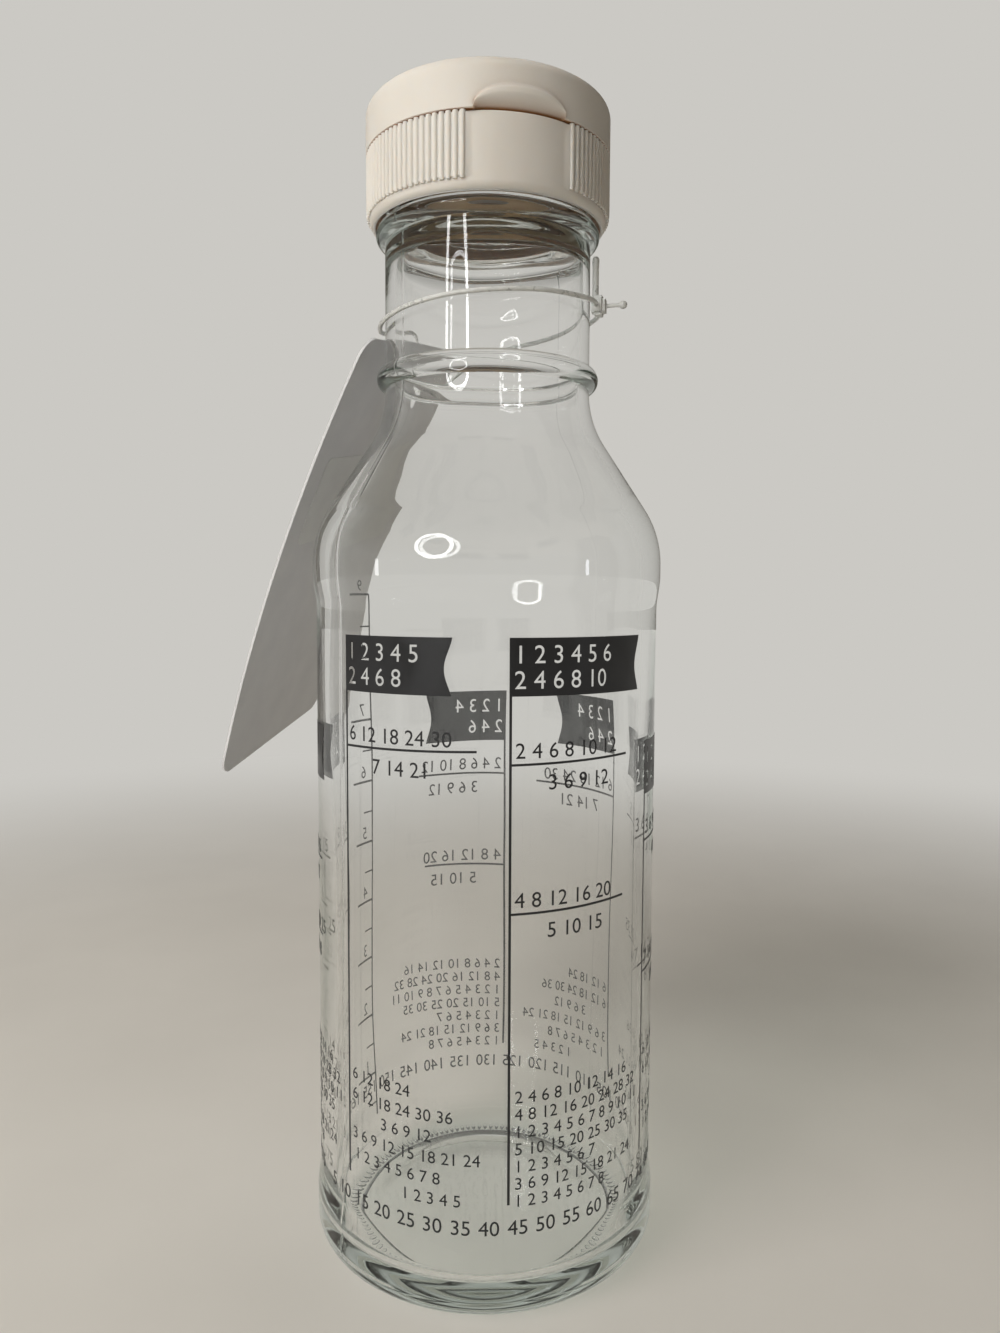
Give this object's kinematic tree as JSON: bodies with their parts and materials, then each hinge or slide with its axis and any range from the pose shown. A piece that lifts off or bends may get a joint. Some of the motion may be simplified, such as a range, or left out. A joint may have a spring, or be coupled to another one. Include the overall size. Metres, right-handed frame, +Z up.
{
  "type": "salad dressing shaker bottle",
  "caption": "Clear glass dressing shaker bottle with a printed measuring panel, ribbed screw cap, flip-top lid and a hang tag on a nylon loop.",
  "frame": {"origin": "on the bottle's axis in the plane of the ring that it stands on", "axes": "+Z up along the bottle's axis; -Y towards the lid's thumb lip; +Y towards the hinge"},
  "size_m": [0.0779, 0.1045, 0.2001],
  "materials": {
    "clear_glass": "clear polished soda-lime glass with black screen print",
    "cap_plastic": "off-white moulded polypropylene, satin",
    "liner_foam": "cream foamed polyethylene seal",
    "nylon": "natural translucent nylon",
    "tag_card": "smooth white coated card",
    "sticker_paper": "blank white self-adhesive paper"
  },
  "bodies": {
    "bottle": {"glass_bottle": "clear_glass"},
    "liner": {"cap_liner": "liner_foam"},
    "cap": {"screw_cap": "cap_plastic", "living_hinge": "cap_plastic"},
    "lid": {"flip_lid": "cap_plastic"},
    "loop": {"tag_loop": "nylon", "tag_loop_lock": "nylon"},
    "tag": {"hang_tag": "tag_card", "tag_label": "sticker_paper"}
  },
  "joints": [
    {"name": "cap_lift", "type": "slide", "parent": "bottle", "child": "liner", "axis": [0, 0, 1], "range_m": [0, 0.0127]},
    {"name": "cap_turn", "type": "hinge", "parent": "liner", "child": "cap", "pos_m": [0, 0, 0.185], "axis": [0, 0, 1], "range_deg": [0, 1080]},
    {"name": "lid_flip", "type": "hinge", "parent": "cap", "child": "lid", "pos_m": [0, 0.0219, 0.19186], "axis": [-1, 0, 0], "range_deg": [0, 150]},
    {"name": "loop_turn", "type": "hinge", "parent": "bottle", "child": "loop", "pos_m": [0, 0, 0.165], "axis": [0, 0, 1], "continuous": true},
    {"name": "tag_swing", "type": "hinge", "parent": "loop", "child": "tag", "pos_m": [-0.01297, 0.02573, 0.15611], "axis": [0.7912, -0.3522, -0.5], "range_deg": [0, 45]}
  ],
  "couplings": [
    {"joint": "cap_lift", "follows": "cap_turn", "m_per_rad": 0.00067323}
  ]
}
